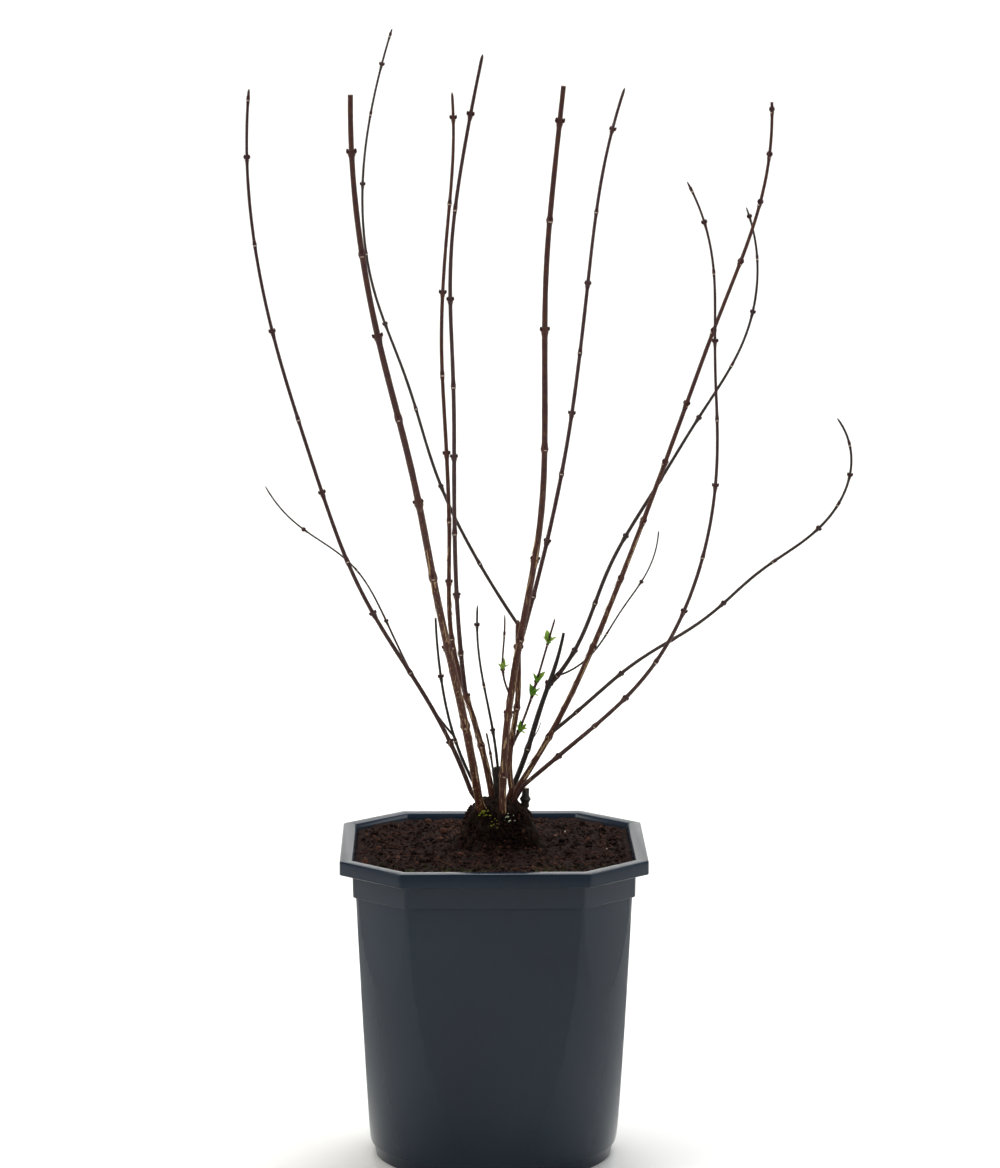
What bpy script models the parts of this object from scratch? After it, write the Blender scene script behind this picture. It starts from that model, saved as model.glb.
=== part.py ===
"""A potted mock orange in early spring: bare canes on a low woody stool, in an octagonal nursery pot."""

import random
from collections import namedtuple
from math import ceil, copysign, cos, pi, radians, sin, sqrt, tan

import bmesh
import bpy
from mathutils import Matrix, Vector

MM = 0.001
GAP = 0.3  # clearance between neighbouring solids; every size below is in millimetres

# The pot: a square with cut corners, moulded in one piece
POT_HEIGHT = 272.0
RIM_HALF = 130.0  # half the width across the rim's main sides
RIM_CORNER = 51.0  # length that the cut corner takes off each side
RIM_DEPTH = 12.0  # height of the turned-down rim
RIM_FACE = 9.0  # width of the rim's flat top
RIM_SKIN = 1.8
COLLAR_HALF = 119.4
COLLAR_FOOT = 239.5  # height of the collar's lower edge
COLLAR_DRAFT = 0.4
BODY_HALF = 116.3  # just under the collar
BODY_HALF_LOW = 105.8  # where the flat sides run out at the foot
FOOT_HEIGHT = 12.0
FOOT_RADIUS = 104.2
FOOT_RADIUS_LOW = 102.3
WALL = 1.8

# The round form that cuts the body's corners into long tongues, as it narrows to the foot
BARREL_TOP = 136.8
BARREL_DROP = 11.6
BARREL_SAG = 19.4
BARREL_RINGS = 10
TURNED_SIDES = 72

# The floor: a raised ring with drain holes round a pad that stands on the ground
FLOOR_RISE = 13.0
PAD_RADIUS = 34.0
PAD_SLOPE = 7.0
TRENCH_OUTER = 99.0
DRAIN_HOLES = 8
DRAIN_RADIUS = 6.0
DRAIN_CIRCLE = 72.0
NOTCH_WIDTH = 40.0
NOTCH_HEIGHT = 12.4
NOTCH_DEPTH = 16.0

# The peat fill
PEAT_DROP = 6.5  # below the rim, at the wall
PEAT_TOP = 268.0  # flat top of the low mound in the middle
PEAT_MOUND_HALF = 48.0

# The stool: (radius, height above the peat) of each ring, then its lobes
STOOL_CENTRE = (4.0, 0.0)
STOOL_RINGS = ((39, 0), (35, 5), (31, 14), (28, 24), (24, 34), (16, 40), (6, 42))
STOOL_SIDES = 20
STOOL_DEPTH = 0.82  # front-to-back size against side-to-side
STOOL_LOBES = ((3, 0.4, 0.06), (5, 1.9, 0.05))  # (count, turn in radians, share of the radius)

# Canes
HEART = (4, 0, 282)  # point in the stool that the feet of the canes on it spread from
ROOT_SHARE = 0.8  # share of the way from a foot to the heart that its cane starts at
BUD_REACH = 1.5
BUD_REACH_WHIP = 0.8
BUD_SPAN = (-3.0, 1.0, 3.6)  # heights of a node's three rings
NODE_SWELL = 1.15
MID_RING_SPACING = 27.0
STEP = 1.5  # length of one step along a cane's path
POINT_LENGTH = 5.0
POINT_SHARE = 0.35

# Young leaves on the two shoots that have broken bud
LEAF_SEED = 11
LEAF_LENGTH = (7.0, 11.0)
LEAF_WIDTH_SHARE = 0.38
LEAF_THICKNESS_SHARE = 0.12
LEAF_RISE = (35.0, 62.0)
SPUR_LENGTH = (7.0, 12.0)
SPUR_RADIUS = 0.6

# host: what the stem grows from
# foot: (across, back, up) of a foot on the stool, or the length along its host where it leaves
# lean, fore: degrees from plumb to the right and to the back, at even steps along the stem
# thick: diameters at even steps along the stem
# nodes: length of each internode from the foot up, then tip: the length past the last node
# turn: where the first pair of buds points, in degrees from the right; each next pair is turned by 90
# leaves: pairs of young leaves at each node
Stem = namedtuple("Stem", "host foot lean fore thick nodes tip turn sides end leaves",
                  defaults=(90, 6, "point", ()))

STEMS = {
    "old_stump": Stem("stool", (6, 5, 312), (-5, -4), (2, 0), (9.5, 7.5), (), 24, end="cut", sides=8),
    "right_stump": Stem("stool", (27, -3, 303), (4, 2), (0, 0), (7.5, 6.0), (), 16, end="cut", sides=8),
    "far_left_cane": Stem("stool", (-19, 3, 315), (-20, -33, -20, -17, -8, 5), (4, 10, 5), (3.8, 2.4),
                          (45, 70, 58, 51, 61, 67, 77, 77, 73, 51), 9, turn=0),
    "left_cane": Stem("stool", (-11, -14, 302), (-8, -12, -10, -14, -8, 1), (-18, -14, -6), (6.8, 4.0),
                      (83, 74, 67, 67, 77, 71, 71, 83), 48, end="cut", sides=8),
    "dark_left_stem": Stem("stool", (-15, 5, 319), (-30, -12, -2), (20, 6), (2.8, 1.9), (43, 55), 52,
                           end="cut"),
    "mid_left_cane": Stem("stool", (-3, 2, 323), (-11, -17, 0, -2, -3, 3, 5, -4), (-4, 6, 9),
                          (5.4, 3.6, 3.2, 2.9, 2.4), (33, 44, 53, 47, 53, 56, 68, 68, 77, 71), 23),
    "mid_right_cane": Stem("mid_left_cane", 80, (-7, -2, 0, -2, 8, 12), (-20, -20, -14), (3.9, 2.6),
                           (41, 55, 61, 70, 67, 76, 81, 79), 52),
    "centre_cane": Stem("stool", (8, -18, 299), (-1, 8, 10, 1, 0, 5, 6), (1, -6, -6), (6.0, 3.9),
                        (34, 53, 66, 69, 97, 100, 94, 81), 31, turn=100, end="cut", sides=8),
    "fork_stem": Stem("stool", (16, -4, 318), (-11, 10, 0, 0), (4, 3), (4.9, 4.3), (71, 50), 25),
    "top_shoot": Stem("fork_stem", 142, (-35, -28, -17, -22, -5, 9, 18), (14, 23, 18), (2.7, 1.6),
                      (62, 73, 73, 79, 67, 62, 65, 45, 28), 7),
    "right_of_centre_cane": Stem("fork_stem", 120, (17, 13, 8, 8, 19), (14, 22, 16), (3.8, 2.5),
                                 (48, 48, 61, 53, 56, 61, 66, 74), 40),
    "stub_cane": Stem("stool", (20, 12, 324), (23, 17, 20, 11), (6, 6), (4.4, 4.4, 2.4), (28, 57), 47,
                      end="cut"),
    "loop_shoot": Stem("stub_cane", 84, (44, 21, 32, 32, 32, 8, -21), (14, 12, 6), (3.4, 2.4, 1.6),
                       (12, 25, 46, 62, 58, 62, 55, 48, 48, 35), 10),
    "right_whip": Stem("loop_shoot", 12, (74, 35, 36, 4), (26, 14), (1.6, 1.1), (58, 53, 47), 2, sides=4),
    "far_right_cane": Stem("stool", (20, 5, 316), (34, 24, 21, 20, 20, -2), (5, 6, 2), (5.0, 2.4),
                           (53, 85, 63, 53, 53, 53, 66, 63, 53, 41, 38), 8, turn=45, end="cut", sides=8),
    "right_cane": Stem("stool", (25, -10, 322), (47, 46, 25, 9, -3, -2, -29), (-20, -12, -6), (3.7, 1.8),
                       (41, 44, 35, 44, 50, 53, 62, 59, 65, 59, 41, 30), 8, turn=0),
    "low_right_shoot": Stem("far_right_cane", 57, (49, 47, 58, 45, 54, 21, -37), (-14, -16, -5),
                            (2.9, 1.7), (30, 50, 54, 54, 58, 46, 28, 26, 28), 25),
    "left_whip": Stem("dark_left_stem", 47, (-42, -28, -28, -57, -29), (16, 6), (1.8, 1.2),
                      (33, 81, 52, 56), 52, sides=4),
    "short_stem": Stem("old_stump", 18, (-5, -11, 3), (-12, -8), (2.4, 1.7), (39, 43, 53), 19, turn=0),
    "grey_stub": Stem("stool", (1, -4, 325), (-6, -12), (-8, -8), (2.0, 1.6), (25,), 19, end="cut"),
    "dry_twig": Stem("stub_cane", 34, (43, 12), (-6, -6), (0.9, 0.8), (), 21, sides=4),
}

SPROUTS = {
    "sprouting_shoot": Stem("centre_cane", 103, (-28, 3, -1), (-14, -8), (1.9, 1.4), (24, 33), 18, turn=0,
                            leaves=(2, 0)),
    "leafy_shoot": Stem("fork_stem", 34, (24, 16, 15), (-16, -12), (2.4, 1.6), (18, 35, 14, 37), 24, turn=20,
                        leaves=(1, 2, 2, 2)),
}


# General helpers

def material(name, colour, roughness):
    """A Principled material; colour is linear red, green and blue."""
    made = bpy.data.materials.new(name)
    made.use_nodes = True
    shader = made.node_tree.nodes["Principled BSDF"]
    shader.inputs["Base Color"].default_value = (*colour, 1.0)
    shader.inputs["Roughness"].default_value = roughness
    return made


def add_object(name, mesh, look=None):
    """Link a mesh as a named object."""
    made = bpy.data.objects.new(name, mesh)
    bpy.context.scene.collection.objects.link(made)
    if look:
        mesh.materials.append(look)
    return made


def finish_mesh(name, bm):
    """Turn a bmesh in millimetres into a mesh in metres, with its faces pointing out."""
    bmesh.ops.recalc_face_normals(bm, faces=bm.faces)
    bmesh.ops.scale(bm, vec=(MM, MM, MM), verts=bm.verts)
    mesh = bpy.data.meshes.new(name)
    bm.to_mesh(mesh)
    bm.free()
    return mesh


def shade(mesh, angle=40):
    """Smooth shading that keeps edges sharper than the angle."""
    mesh.shade_smooth()
    mesh.set_sharp_from_angle(angle=radians(angle))


def as_cutter(cutter):
    """Hide a shape that only cuts others."""
    cutter.hide_render = True
    cutter.display_type = "WIRE"
    return cutter


def combine(target, operation, cutter):
    """Cut, join or intersect a solid with another by a live modifier."""
    boolean = target.modifiers.new(operation.lower(), "BOOLEAN")
    boolean.operation = operation
    boolean.object = cutter
    return boolean


def read_stations(values, share):
    """Read a value at a share of the way along evenly spaced stations, by a Catmull-Rom curve."""
    spans = len(values) - 1
    index = min(int(share * spans), spans - 1)
    u = share * spans - index
    start, end = values[index], values[index + 1]
    before = values[index - 1] if index else 2 * start - end
    after = values[index + 2] if index + 2 <= spans else 2 * end - start
    return 0.5 * (2 * start + (end - before) * u + (2 * before - 5 * start + 4 * end - after) * u * u
                  + (3 * start - before - 3 * end + after) * u ** 3)


def extrude_ring(bm, ring):
    """Extrude a loop of edges in place; return the new loop's edges and points."""
    made = bmesh.ops.extrude_edge_only(bm, edges=ring)["geom"]
    points = [item for item in made if isinstance(item, bmesh.types.BMVert)]
    # of the new edges, those between two new points form the next loop
    edges = [item for item in made if isinstance(item, bmesh.types.BMEdge)
             and item.verts[0] in points and item.verts[1] in points]
    return edges, points


# The pot

def octagon_point(point, half):
    """Move a point of an octagon to the parallel octagon of another half width."""
    cut = RIM_CORNER - (2 - sqrt(2)) * (RIM_HALF - half)
    wide = abs(point.x) > abs(point.y)
    point.x = copysign(half if wide else half - cut, point.x)
    point.y = copysign(half - cut if wide else half, point.y)


def octagon_stack(name, levels):
    """A closed solid through octagons, each given by its half width and height."""
    bm = bmesh.new()
    points = bmesh.ops.create_circle(bm, cap_ends=True, segments=8, radius=1,
                                     matrix=Matrix.Rotation(pi / 8, 4, "Z"))["verts"]
    ring = list(bm.edges)
    for step, (half, height) in enumerate(levels):
        if step:
            ring, points = extrude_ring(bm, ring)
        for point in points:
            octagon_point(point.co, half)
            point.co.z = height
    bmesh.ops.contextual_create(bm, geom=ring)
    return finish_mesh(name, bm)


def turned(name, profile, sides=TURNED_SIDES):
    """A closed solid turned round the upright axis; the profile starts and ends on it."""
    bm = bmesh.new()
    points = [bm.verts.new((radius, 0, height)) for radius, height in profile]
    edges = [bm.edges.new(pair) for pair in zip(points, points[1:])]
    bmesh.ops.spin(bm, geom=points + edges, cent=(0, 0, 0), axis=(0, 0, 1), angle=2 * pi, steps=sides,
                   use_merge=True)
    bmesh.ops.remove_doubles(bm, verts=bm.verts, dist=0.001)
    return finish_mesh(name, bm)


def barrel_radius(height):
    """Radius of the round form at a height: it narrows faster towards the foot."""
    down = (COLLAR_FOOT - height) / (COLLAR_FOOT - FOOT_HEIGHT)
    return BARREL_TOP - BARREL_DROP * down - BARREL_SAG * down * down


def barrel_wall(inset, top):
    """Outline of the round form: clear of the pot above a height, then its side down to the foot."""
    clear = RIM_HALF * 2
    wall = [(0, POT_HEIGHT + 20), (clear, POT_HEIGHT + 20), (clear, top)]
    for step in range(BARREL_RINGS + 1):
        height = top + (FOOT_HEIGHT - top) * step / BARREL_RINGS
        wall.append((barrel_radius(height) - inset, height))
    return wall


def pot_outside():
    """The pot's outer form: octagonal above, cut round towards the foot."""
    body_draft = (BODY_HALF - BODY_HALF_LOW) / (COLLAR_FOOT - FOOT_HEIGHT)
    levels = [(RIM_HALF - 1, POT_HEIGHT), (RIM_HALF, POT_HEIGHT - 1), (RIM_HALF, POT_HEIGHT - RIM_DEPTH),
              (RIM_HALF - RIM_SKIN, POT_HEIGHT - RIM_DEPTH), (RIM_HALF - RIM_SKIN, POT_HEIGHT - RIM_SKIN),
              (COLLAR_HALF, POT_HEIGHT - RIM_SKIN), (COLLAR_HALF - COLLAR_DRAFT, COLLAR_FOOT + 0.8),
              (COLLAR_HALF - COLLAR_DRAFT - 0.8, COLLAR_FOOT), (BODY_HALF, COLLAR_FOOT - 0.4),
              (BODY_HALF_LOW - body_draft * (FOOT_HEIGHT + 10), -10)]
    foot = [(FOOT_RADIUS, FOOT_HEIGHT - 0.6), (FOOT_RADIUS_LOW, 1.5), (FOOT_RADIUS_LOW - 1.5, 0), (0, 0)]
    round_form = as_cutter(add_object("round_form", turned("round_form", barrel_wall(0, COLLAR_FOOT) + foot)))
    pot = add_object("pot", octagon_stack("pot", levels), material("slate_plastic", (0.022, 0.032, 0.042), 0.3))
    combine(pot, "INTERSECT", round_form)
    return pot


def pot_inside(name, clear, top):
    """The space inside the wall, taken in by a clearance: the hollow itself, or the fill in it."""
    inset = WALL + clear
    draft = (BODY_HALF - BODY_HALF_LOW) / (COLLAR_FOOT - FOOT_HEIGHT)
    levels = top + [(COLLAR_HALF - inset, COLLAR_FOOT + 3), (BODY_HALF - inset, COLLAR_FOOT - 3),
                    (BODY_HALF_LOW - inset - draft * FOOT_HEIGHT, 0)]
    floor_top = FLOOR_RISE + WALL + clear
    floor = [(barrel_radius(floor_top) - inset - 3, floor_top), (PAD_RADIUS + PAD_SLOPE - clear, floor_top),
             (PAD_RADIUS - clear, WALL + clear), (0, WALL + clear)]
    wall = [point for point in barrel_wall(inset, COLLAR_FOOT - WALL + clear) if point[1] > floor_top + 3]
    round_form = as_cutter(add_object(name + "_round", turned(name + "_round", wall + floor)))
    space = add_object(name, octagon_stack(name, levels))
    combine(space, "INTERSECT", round_form)
    return space


def cut_floor(pot):
    """Raise the floor's ring off the ground, with drain holes in it and notches through the foot."""
    trench = turned("trench", [(0, -20), (TRENCH_OUTER, -20), (TRENCH_OUTER - 2, FLOOR_RISE),
                               (PAD_RADIUS + PAD_SLOPE + WALL, FLOOR_RISE), (PAD_RADIUS + WALL, 0),
                               (PAD_RADIUS + WALL, -5), (0, -5)])
    combine(pot, "DIFFERENCE", as_cutter(add_object("trench", trench)))
    bm = bmesh.new()
    for side in range(4):
        place = Matrix.Rotation(side * pi / 2, 4, "Z") @ Matrix.Translation((FOOT_RADIUS_LOW, 0, 0))
        bmesh.ops.create_cube(bm, size=1, matrix=place @ Matrix.Diagonal((NOTCH_DEPTH, NOTCH_WIDTH,
                                                                         2 * NOTCH_HEIGHT, 1)))
    for hole in range(DRAIN_HOLES):
        angle = (hole + 0.5) * 2 * pi / DRAIN_HOLES
        place = Matrix.Translation((DRAIN_CIRCLE * cos(angle), DRAIN_CIRCLE * sin(angle), FLOOR_RISE))
        bmesh.ops.create_cone(bm, cap_ends=True, segments=16, radius1=DRAIN_RADIUS, radius2=DRAIN_RADIUS,
                              depth=12, matrix=place)
    combine(pot, "DIFFERENCE", as_cutter(add_object("drains", finish_mesh("drains", bm))))


def make_pot():
    """The pot and the peat that fills it."""
    pot = pot_outside()
    inner_edge = RIM_HALF - RIM_FACE
    open_top = [(inner_edge, POT_HEIGHT + 10), (inner_edge, POT_HEIGHT), (inner_edge - 1.6, POT_HEIGHT - 1.2),
                (COLLAR_HALF - WALL, POT_HEIGHT - 4)]
    combine(pot, "DIFFERENCE", as_cutter(pot_inside("hollow", 0, open_top)))
    cut_floor(pot)

    mound = PEAT_MOUND_HALF
    peat_edge = POT_HEIGHT - PEAT_DROP
    peat_top = [(mound, PEAT_TOP), ((COLLAR_HALF + mound) / 2, (PEAT_TOP + peat_edge) / 2 + 0.3),
                (COLLAR_HALF - WALL - GAP - 4, peat_edge), (COLLAR_HALF - WALL - GAP, peat_edge - 1.2)]
    peat = pot_inside("peat", GAP, peat_top)
    peat.data.materials.append(material("peat", (0.02, 0.011, 0.007), 0.95))


# The stool

def stool_mesh(name, grow):
    """The low woody crown that the canes stand on, with lobes towards its roots, flat at the peat."""
    bm = bmesh.new()
    bmesh.ops.create_circle(bm, cap_ends=True, segments=STOOL_SIDES, radius=1)
    ring = list(bm.edges)
    points = list(bm.verts)
    for step, (radius, height) in enumerate(STOOL_RINGS):
        if step:
            ring, points = extrude_ring(bm, ring)
        for point in points:
            around = Vector((point.co.x, point.co.y, 0)).normalized()
            turn = around.to_2d().angle_signed(Vector((1, 0)), 0)
            lobes = sum(size * cos(count * turn + phase) for count, phase, size in STOOL_LOBES)
            reach = radius * (1 + lobes * (1 - height / STOOL_RINGS[-1][1] * 0.5)) + grow
            low = GAP if step == 0 else GAP + height + grow
            point.co = Vector((around.x * reach, around.y * reach, low))
    bmesh.ops.contextual_create(bm, geom=ring)
    bmesh.ops.scale(bm, vec=(1, STOOL_DEPTH, 1), verts=bm.verts)
    bmesh.ops.translate(bm, vec=(STOOL_CENTRE[0], STOOL_CENTRE[1], PEAT_TOP), verts=bm.verts)
    return finish_mesh(name, bm)


# The canes

def lean_direction(lean, fore):
    """Unit direction that leans by two angles from plumb, to the right and to the back."""
    return Vector((tan(radians(lean)), tan(radians(fore)), 1)).normalized()


class Route:
    """A stem's path: its length, and its place and direction at any length along it."""

    def __init__(self, stem, start):
        self.stem = stem
        self.length = sum(stem.nodes) + stem.tip
        self.steps = ceil(self.length / STEP)
        self.points = [Vector(start)]
        self.root = (self.points[0] - Vector(HEART)) * ROOT_SHARE if stem.host == "stool" else Vector()
        for step in range(self.steps):
            ahead = self.direction((step + 0.5) / self.steps * self.length)
            self.points.append(self.points[-1] + ahead * self.length / self.steps)

    def direction(self, along):
        if along < 0:
            return self.root.normalized()
        share = min(along / self.length, 1)
        return lean_direction(read_stations(self.stem.lean, share), read_stations(self.stem.fore, share))

    def place(self, along):
        if along < 0:
            return self.points[0] + self.direction(along) * along
        exact = along / self.length * self.steps
        index = min(int(exact), self.steps - 1)
        return self.points[index].lerp(self.points[index + 1], exact - index)

    def radius(self, along):
        share = min(max(along / self.length, 0), 1)
        return read_stations(self.stem.thick, share) / 2

    def frame(self, along):
        """Matrix that stands a flat ring across the stem, with its X axis to the right."""
        ahead = self.direction(along)
        right = (Vector((1, 0, 0)) - ahead * ahead.x).normalized()
        turn = Matrix((right, ahead.cross(right), ahead)).transposed().to_4x4()
        return Matrix.Translation(self.place(along)) @ turn

    def node_places(self):
        """Length along the stem of each node, with the way its buds point."""
        along = 0
        for index, internode in enumerate(self.stem.nodes):
            along += internode
            yield along, self.stem.turn + 90 * index


def stem_rings(route):
    """Each ring along a stem: its length along, radius, and the stretch and turn of a pair of buds."""
    stem = route.stem
    reach = BUD_REACH_WHIP if stem.sides == 4 else BUD_REACH
    rings = [(-route.root.length, route.radius(0), 1, 0)] if route.root.length else []
    rings.append((0, route.radius(0), 1, 0))
    last = 0
    end = route.length - (POINT_LENGTH if stem.end == "point" else 0)
    stops = [(along, turn) for along, turn in route.node_places() if along + BUD_SPAN[2] < end]
    for along, turn in stops + [(end, None)]:
        near = along + (BUD_SPAN[0] if turn is not None else 0)
        count = ceil((near - last) / MID_RING_SPACING)
        for mid in range(1, count):
            here = last + (near - last) * mid / count
            rings.append((here, route.radius(here), 1, 0))
        if turn is None:
            break
        for rise, swell in zip(BUD_SPAN, (1, NODE_SWELL, 1)):
            radius = route.radius(along + rise) * swell
            stretch = (radius + reach) / radius if swell > 1 else 1
            rings.append((along + rise, radius, stretch, turn))
        last = along + BUD_SPAN[2]
    rings.append((end, route.radius(end), 1, 0))
    if stem.end == "point":
        rings.append((route.length, route.radius(route.length) * POINT_SHARE, 1, 0))
    return rings


def stem_mesh(name, route, grow=0):
    """A tapering solid along a route, with a pair of buds pulled out of it at each node."""
    bm = bmesh.new()
    ring = points = before = None
    for along, radius, stretch, turn in stem_rings(route):
        out = Vector((cos(radians(turn)), sin(radians(turn)), 0))
        placed = route.frame(along) @ Matrix.Scale(stretch, 4, out) @ Matrix.Diagonal((radius + grow,
                                                                                      radius + grow, 1, 1))
        if ring is None:
            bmesh.ops.create_circle(bm, cap_ends=True, segments=route.stem.sides, radius=1, matrix=placed)
            ring = list(bm.edges)
        else:
            ring, points = extrude_ring(bm, ring)
            bmesh.ops.transform(bm, matrix=placed @ before.inverted(), verts=points)
        before = placed
    bmesh.ops.contextual_create(bm, geom=ring)
    return finish_mesh(name, bm)


def stem_start(stem, routes):
    """A stem's first point: its foot on the stool, or a point on the axis of its host."""
    if stem.host == "stool":
        return Vector(stem.foot)
    return routes[stem.host].place(stem.foot)


def clearance(host, routes):
    """The cutter that keeps a stem's foot just clear of its host."""
    name = host + "_clearance"
    if name not in bpy.data.objects:
        if host == "stool":
            mesh = stool_mesh(name, GAP)
        else:
            mesh = stem_mesh(name, routes[host], GAP)
        as_cutter(add_object(name, mesh))
    return bpy.data.objects[name]


def make_stems(routes, bark):
    """Every cane, stem, whip and stump, each cut to sit on what it grows from."""
    for name, stem in STEMS.items():
        routes[name] = Route(stem, stem_start(stem, routes))
        mesh = stem_mesh(name, routes[name])
        shade(mesh, 55)
        combine(add_object(name, mesh, bark), "DIFFERENCE", clearance(stem.host, routes))


# The shoots in leaf

def leaf(bm, base, along, across, length):
    """A folded young leaf of eight faces, from its base to its tip."""
    half = length * LEAF_WIDTH_SHARE / 2
    deep = length * LEAF_THICKNESS_SHARE / 2
    up = along.cross(across)
    middle = base + along * length * 0.45
    waist = [bm.verts.new(middle + offset) for offset in (across * half, up * deep, -across * half, -up * deep)]
    for end in (base, base + along * length + up * deep):
        point = bm.verts.new(end)
        for index in range(4):
            bm.faces.new((point, waist[index], waist[(index + 1) % 4]))


def sprout_pieces(route, dice):
    """The leaves and spurs at each node of a shoot, one mesh for each."""
    for (along, turn), pairs in zip(route.node_places(), route.stem.leaves):
        for pair in range(pairs):
            for side in (0, 180):
                bm = bmesh.new()
                frame = route.frame(along + 2 * pair).to_3x3()
                angle = radians(turn + side + 90 * pair + dice.uniform(-20, 20))
                out = frame @ Vector((cos(angle), sin(angle), 0))
                across = frame @ Vector((-sin(angle), cos(angle), 0))
                rise = radians(dice.uniform(*LEAF_RISE))
                ahead = out * cos(rise) + frame.col[2] * sin(rise)
                base = route.place(along + 2 * pair)
                leaf(bm, base, ahead, across, dice.uniform(*LEAF_LENGTH))
                yield finish_mesh("leaf", bm)
        if pairs > 1:
            bm = bmesh.new()
            lean = frame @ Matrix.Rotation(radians(dice.uniform(25, 40)), 3, "Y")
            spur = dice.uniform(*SPUR_LENGTH)
            place = Matrix.Translation(route.place(along) + lean.col[2] * spur / 2) @ lean.to_4x4()
            bmesh.ops.create_cone(bm, cap_ends=True, segments=3, radius1=SPUR_RADIUS, radius2=SPUR_RADIUS / 2,
                                  depth=spur, matrix=place)
            yield finish_mesh("spur", bm)


def make_sprouts(routes, look):
    """The shoots that have broken bud: a twig with its spurs and young leaves fused on."""
    dice = random.Random(LEAF_SEED)
    for name, stem in SPROUTS.items():
        routes[name] = Route(stem, stem_start(stem, routes))
        shoot = add_object(name, stem_mesh(name, routes[name]), look)
        pieces = bpy.data.collections.new(name + "_pieces")
        bpy.context.scene.collection.children.link(pieces)
        for mesh in sprout_pieces(routes[name], dice):
            pieces.objects.link(bpy.data.objects.new(mesh.name, mesh))
        union = combine(shoot, "UNION", None)
        union.operand_type = "COLLECTION"
        union.collection = pieces
        cut = combine(shoot, "DIFFERENCE", clearance(stem.host, routes))
        cut.name = "foot"
        graph = bpy.context.evaluated_depsgraph_get()
        shoot.data = bpy.data.meshes.new_from_object(shoot.evaluated_get(graph))
        shoot.modifiers.clear()
        for piece in list(pieces.objects):
            bpy.data.objects.remove(piece)
        bpy.data.collections.remove(pieces)


def main():
    for old in list(bpy.data.objects):
        bpy.data.objects.remove(old)
    make_pot()
    add_object("stool", stool_mesh("stool", 0), material("old_wood", (0.02, 0.014, 0.01), 0.9))
    routes = {}
    make_stems(routes, material("bark", (0.075, 0.03, 0.02), 0.55))
    make_sprouts(routes, material("young_leaf", (0.1, 0.26, 0.03), 0.5))


main()
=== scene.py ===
import random
from collections import namedtuple
from math import atan2, ceil, cos, pi, radians, sin, sqrt, tan

import bmesh
import bpy
from mathutils import Matrix, Vector, noise


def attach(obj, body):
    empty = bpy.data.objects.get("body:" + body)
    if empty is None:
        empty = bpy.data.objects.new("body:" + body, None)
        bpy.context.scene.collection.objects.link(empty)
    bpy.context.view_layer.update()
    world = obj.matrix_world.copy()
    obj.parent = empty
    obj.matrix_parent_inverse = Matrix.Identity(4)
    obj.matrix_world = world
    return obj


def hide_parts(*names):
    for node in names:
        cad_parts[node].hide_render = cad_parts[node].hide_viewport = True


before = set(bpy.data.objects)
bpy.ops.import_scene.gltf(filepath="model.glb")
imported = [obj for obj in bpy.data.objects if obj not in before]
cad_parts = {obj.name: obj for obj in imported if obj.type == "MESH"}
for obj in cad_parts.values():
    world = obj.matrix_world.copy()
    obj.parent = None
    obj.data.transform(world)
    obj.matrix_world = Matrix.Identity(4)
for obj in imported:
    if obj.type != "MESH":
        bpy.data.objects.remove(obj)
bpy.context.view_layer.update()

MM = 0.001  # sizes below are in millimetres unless they say otherwise

# The pot and its fill, as in the frame
POT_HEIGHT = 272.0
RIM_HALF = 130.0
RIM_CORNER = 51.0
RIM_DEPTH = 12.0
RIM_FACE = 9.0
RIM_SKIN = 1.8
COLLAR_HALF = 119.4
COLLAR_FOOT = 239.5
COLLAR_DRAFT = 0.4
BODY_HALF = 116.3
BODY_HALF_LOW = 105.8
FOOT_HEIGHT = 12.0
FOOT_RADIUS = 104.2
FOOT_RADIUS_LOW = 102.3
WALL = 1.8
BARREL_TOP = 136.8
BARREL_DROP = 11.6
BARREL_SAG = 19.4
BARREL_RINGS = 24
TURNED_SIDES = 216
FLOOR_RISE = 13.0
PAD_RADIUS = 34.0
PAD_SLOPE = 7.0
TRENCH_OUTER = 99.0
DRAIN_HOLES = 8
DRAIN_RADIUS = 6.0
DRAIN_CIRCLE = 72.0
DRAIN_SIDES = 32
NOTCH_WIDTH = 40.0
NOTCH_HEIGHT = 12.4
NOTCH_DEPTH = 16.0
CORNER_ARC = 3  # steps that round each corner of the octagon
CORNER_RADIUS = 5.0
RIM_ROUND = 1.6
BODY_DRAFT = (BODY_HALF - BODY_HALF_LOW) / (COLLAR_FOOT - FOOT_HEIGHT)
PEAT_HALF = 117.2
PEAT_EDGE = 265.5
PEAT_TOP = 268.0
PEAT_MOUND_HALF = 48.0
PEAT_DEPTH = 4.0  # of the crumbly face, at the wall
PEAT_LIFT = 1.2
PEAT_LUMPS = ((0.045, 0, 1.68), (0.14, 7, 1.82), (0.4, 3, 1.5))  # (how many to a mm, layer, height)
PEAT_CELLS = 96

# Loose things on the fill; a corner is the most that x and y add up to, inside the cut corners
CRUMBS = 3600
CRUMB_HALF = 112.0
CRUMB_CORNER = 178.0
CRUMB_SIZE = (0.5, 1.9)
CLOD_SHARE = 0.06
CLOD_GROWTH = 2.1
GRAIN_SHARE = 0.005
RUSTY_SHARE = 0.11
CRUMB_BATCH = 150  # crumbs made in one go, because many small meshes are quicker than one that grows
STOOL_CRUMBS = 1500
STOOL_CRUMB_TOP = 34.0
STOOL_CRUMB_SIZE = (0.6, 2.3)
FIBRES = 170
FIBRE_HALF = 104.0
FIBRE_CORNER = 160.0
FIBRE_END_HALF = 114.0
FIBRE_END_CORNER = 176.0
FIBRE_RINGS = 7
FIBRE_LENGTH = (7, 28)
FIBRE_CURL = 1.6
FIBRE_RADIUS = (0.2, 0.5)
FIBRE_ARCH = 0.8

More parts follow.
